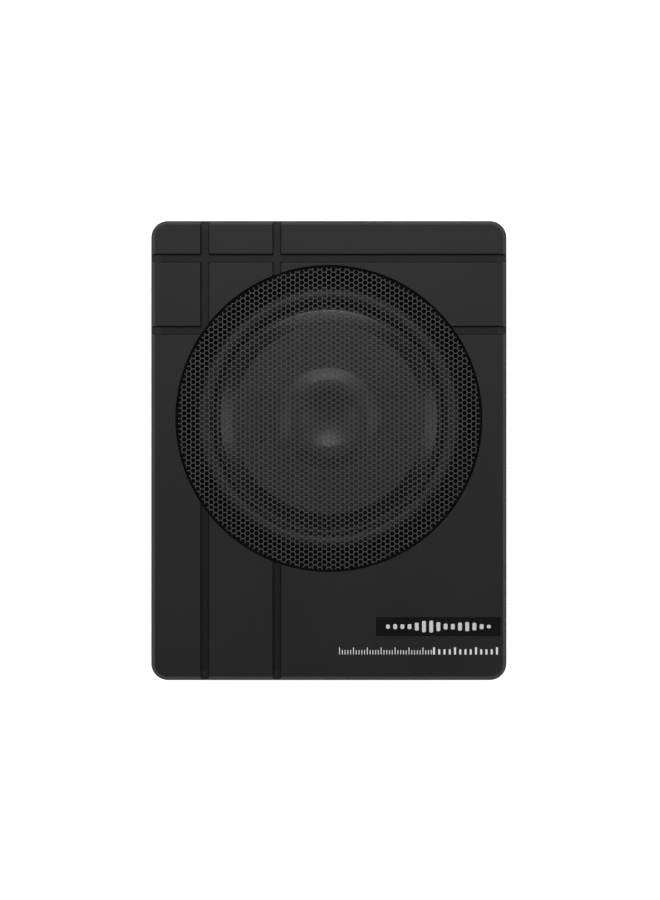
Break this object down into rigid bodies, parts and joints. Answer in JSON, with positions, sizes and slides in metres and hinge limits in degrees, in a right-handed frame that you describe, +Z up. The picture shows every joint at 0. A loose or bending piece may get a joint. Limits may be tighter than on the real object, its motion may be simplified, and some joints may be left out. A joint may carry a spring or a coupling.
{
  "type": "powered car subwoofer",
  "caption": "Flat powered under-seat car subwoofer with a round honeycomb grille, a shallow driver, and a connector panel recessed in one end.",
  "frame": {"origin": "under the middle of the cabinet, on the plane that the four rubber feet stand on", "axes": "+Z up, out through the grille; +Y along the cabinet, away from the connector end; +X across it, to the badge's side"},
  "size_m": [0.267, 0.345, 0.077],
  "materials": {
    "cabinet_paint": "die-cast, fine-textured black powder coat",
    "cover_paint": "smooth black paint",
    "black_screws": "black zinc",
    "foot_rubber": "moulded rubber",
    "gasket_foam": "closed-cell foam",
    "brass_inserts": "turned",
    "badge_gloss": "polished black",
    "badge_silver": "bright",
    "grille_paint": "satin black powder coat",
    "ring_plastic": "moulded black",
    "frame_paint": "black stove enamel",
    "surround_rubber": "butyl rubber",
    "trim_rubber": "moulded rubber",
    "cone_fibre": "fibre-filled black polypropylene",
    "cap_plastic": "pressed satin black",
    "former_metal": "thin rolled foil",
    "copper": "enamelled copper wire",
    "spider_cloth": "resin-dipped cotton",
    "motor_steel": "zinc-plated",
    "ferrite": "sintered ferrite",
    "glue_black": "black adhesive over an eyelet",
    "phenolic": "phenolic board",
    "tinned": "tinned",
    "panel_plastic": "fine-textured black",
    "header_plastic": "black nylon",
    "jack_plastic": "black",
    "fuse_plastic": "translucent amber",
    "knob_plastic": "satin black",
    "shaft_metal": "turned",
    "pot_metal": "plated case",
    "switch_plastic": "black",
    "phono_plastic": "moulded",
    "phono_metal": "nickel plated",
    "led_lens": "diffused red lens",
    "board_green": "solder mask",
    "capacitor_sleeve": "shrink sleeve",
    "bobbin_plastic": "taped winding",
    "bar_metal": "extruded",
    "chip_plastic": "moulded package",
    "wire_jacket": "insulated twin lead"
  },
  "bodies": {
    "cabinet": {"top_housing": "cabinet_paint", "base_cover": "cover_paint", "base_gasket": "gasket_foam", "rubber_feet": "foot_rubber", "foot_screws": "black_screws", "base_screws": "black_screws", "threaded_inserts": "brass_inserts", "name_badge": "badge_gloss", "badge_bars": "badge_silver", "grille_mesh": "grille_paint", "grille_ring": "ring_plastic", "driver_frame": "frame_paint", "driver_gasket": "gasket_foam", "trim_ring": "trim_rubber", "surround": "surround_rubber", "spider": "spider_cloth", "top_plate": "motor_steel", "magnet": "ferrite", "back_plate": "motor_steel", "driver_screws": "black_screws", "terminal_boards": "phenolic", "terminal_lugs": "tinned", "tinsel_leads": "copper", "control_panel": "panel_plastic", "panel_screws": "black_screws", "power_header": "header_plastic", "speaker_header": "header_plastic", "header_pins": "tinned", "remote_jack": "jack_plastic", "fuse_holder": "header_plastic", "potentiometers": "pot_metal", "switch_bodies": "pot_metal", "rca_sockets": "phono_plastic", "rca_sleeves": "phono_metal", "power_led": "led_lens", "control_board": "board_green", "amp_board": "board_green", "board_screws": "black_screws", "capacitors": "capacitor_sleeve", "choke_core": "ferrite", "choke_winding": "copper", "transformer_core": "ferrite", "transformer_bobbin": "bobbin_plastic", "heat_bar": "bar_metal", "transistors": "chip_plastic", "driver_wires": "wire_jacket"},
    "diaphragm": {"cone": "cone_fibre", "dust_cap": "cap_plastic", "coil_former": "former_metal", "voice_coil": "copper", "lead_eyelets": "glue_black"},
    "level_control": {"level_knob": "knob_plastic", "level_shaft": "shaft_metal"},
    "lowpass_control": {"lowpass_knob": "knob_plastic", "lowpass_shaft": "shaft_metal"},
    "bass_control": {"bass_knob": "knob_plastic", "bass_shaft": "shaft_metal"},
    "phase_switch": {"phase_slider": "switch_plastic"},
    "auto_on_switch": {"auto_on_slider": "switch_plastic"},
    "fuse": {"blade_fuse": "fuse_plastic"}
  },
  "joints": [
    {"name": "cone_travel", "type": "slide", "parent": "cabinet", "child": "diaphragm", "axis": [0, 0, 1], "range_m": [-0.005, 0.005], "stiffness_N_per_m": 6000, "deforming": ["surround", "spider", "tinsel_leads"]},
    {"name": "level_turn", "type": "hinge", "parent": "cabinet", "child": "level_control", "pos_m": [-0.011, -0.165, 0.037], "axis": [0, -1, 0], "range_deg": [-140, 140]},
    {"name": "lowpass_turn", "type": "hinge", "parent": "cabinet", "child": "lowpass_control", "pos_m": [0.011, -0.165, 0.037], "axis": [0, -1, 0], "range_deg": [-140, 140]},
    {"name": "bass_turn", "type": "hinge", "parent": "cabinet", "child": "bass_control", "pos_m": [0.033, -0.165, 0.037], "axis": [0, -1, 0], "range_deg": [-140, 140]},
    {"name": "phase_slide", "type": "slide", "parent": "cabinet", "child": "phase_switch", "axis": [1, 0, 0], "range_m": [0, 0.004]},
    {"name": "auto_on_slide", "type": "slide", "parent": "cabinet", "child": "auto_on_switch", "axis": [1, 0, 0], "range_m": [0, 0.004]},
    {"name": "fuse_pull", "type": "slide", "parent": "cabinet", "child": "fuse", "axis": [0, -1, 0], "range_m": [0, 0.016]}
  ]
}
